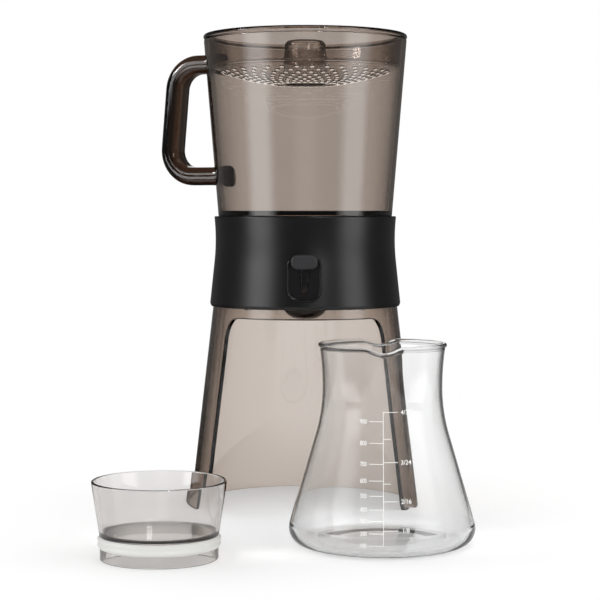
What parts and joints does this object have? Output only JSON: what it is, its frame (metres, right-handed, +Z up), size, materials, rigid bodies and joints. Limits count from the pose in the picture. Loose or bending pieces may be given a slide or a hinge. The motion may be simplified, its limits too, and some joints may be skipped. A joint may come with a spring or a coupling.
{
  "type": "cold brew coffee maker",
  "caption": "Tabletop cold brew coffee maker: tapered stand with drain lever, brewing container with handle, filter and water spreader, glass carafe and stopper cup",
  "frame": {"origin": "on the table, on the axis of the stand", "axes": "+Z up; the lever and the stand's opening face -Y; +X is to the right as seen from the front, the side of the carafe"},
  "size_m": [0.2736, 0.3781, 0.387],
  "materials": {
    "tinted_plastic": "clear smoke-tinted copolyester, polished",
    "black_plastic": "black ABS, fine satin texture",
    "gloss_black_plastic": "black ABS, polished",
    "soft_grip": "soft-touch thermoplastic elastomer, dark grey",
    "silicone": "white translucent silicone",
    "steel": "stainless steel",
    "steel_mesh": "woven stainless steel mesh",
    "clear_glass": "clear borosilicate glass"
  },
  "bodies": {
    "stand": {"stand_shell": "tinted_plastic", "collar": "black_plastic", "lever_bezel": "gloss_black_plastic", "container_seat": "black_plastic", "outlet_cover": "black_plastic", "pivot_pin": "steel", "cover_screws": "steel"},
    "lever": {"lever_arm": "black_plastic", "lever_grip": "soft_grip"},
    "brew_container": {"container": "tinted_plastic", "handle": "tinted_plastic", "valve_housing": "black_plastic", "valve_spring": "steel"},
    "valve": {"valve_stem": "black_plastic", "valve_seal": "silicone"},
    "filter": {"filter_frame": "black_plastic", "filter_mesh": "steel_mesh", "filter_gasket": "silicone"},
    "water_spreader": {"spreader_rim": "tinted_plastic", "spreader_plate": "tinted_plastic", "spreader_knob": "tinted_plastic"},
    "carafe": {"carafe": "clear_glass"},
    "stopper": {"stopper_cup": "tinted_plastic", "stopper_seal": "silicone"}
  },
  "joints": [
    {"name": "lever_press", "type": "hinge", "parent": "stand", "child": "lever", "pos_m": [0, -0.045, 0.187], "axis": [1, 0, 0], "range_deg": [0, 8.5]},
    {"name": "container_lift", "type": "slide", "parent": "stand", "child": "brew_container", "axis": [0, 0, 1], "range_m": [0, 0.12]},
    {"name": "valve_lift", "type": "slide", "parent": "brew_container", "child": "valve", "axis": [0, 0, 1], "range_m": [0, 0.0068], "deforming": ["valve_spring"]},
    {"name": "filter_lift", "type": "slide", "parent": "brew_container", "child": "filter", "axis": [0, 0, 1], "range_m": [0, 0.08]},
    {"name": "spreader_lift", "type": "slide", "parent": "brew_container", "child": "water_spreader", "axis": [0, 0, 1], "range_m": [0, 0.1]},
    {"name": "carafe_lift", "type": "slide", "parent": "stand", "child": "carafe", "axis": [0, 0, 1], "range_m": [0, 0.2]},
    {"name": "stopper_lift", "type": "slide", "parent": "stand", "child": "stopper", "axis": [0, 0, 1], "range_m": [0, 0.15]}
  ],
  "couplings": [
    {"joint": "valve_lift", "follows": "lever_press", "m_per_rad": 0.045}
  ]
}
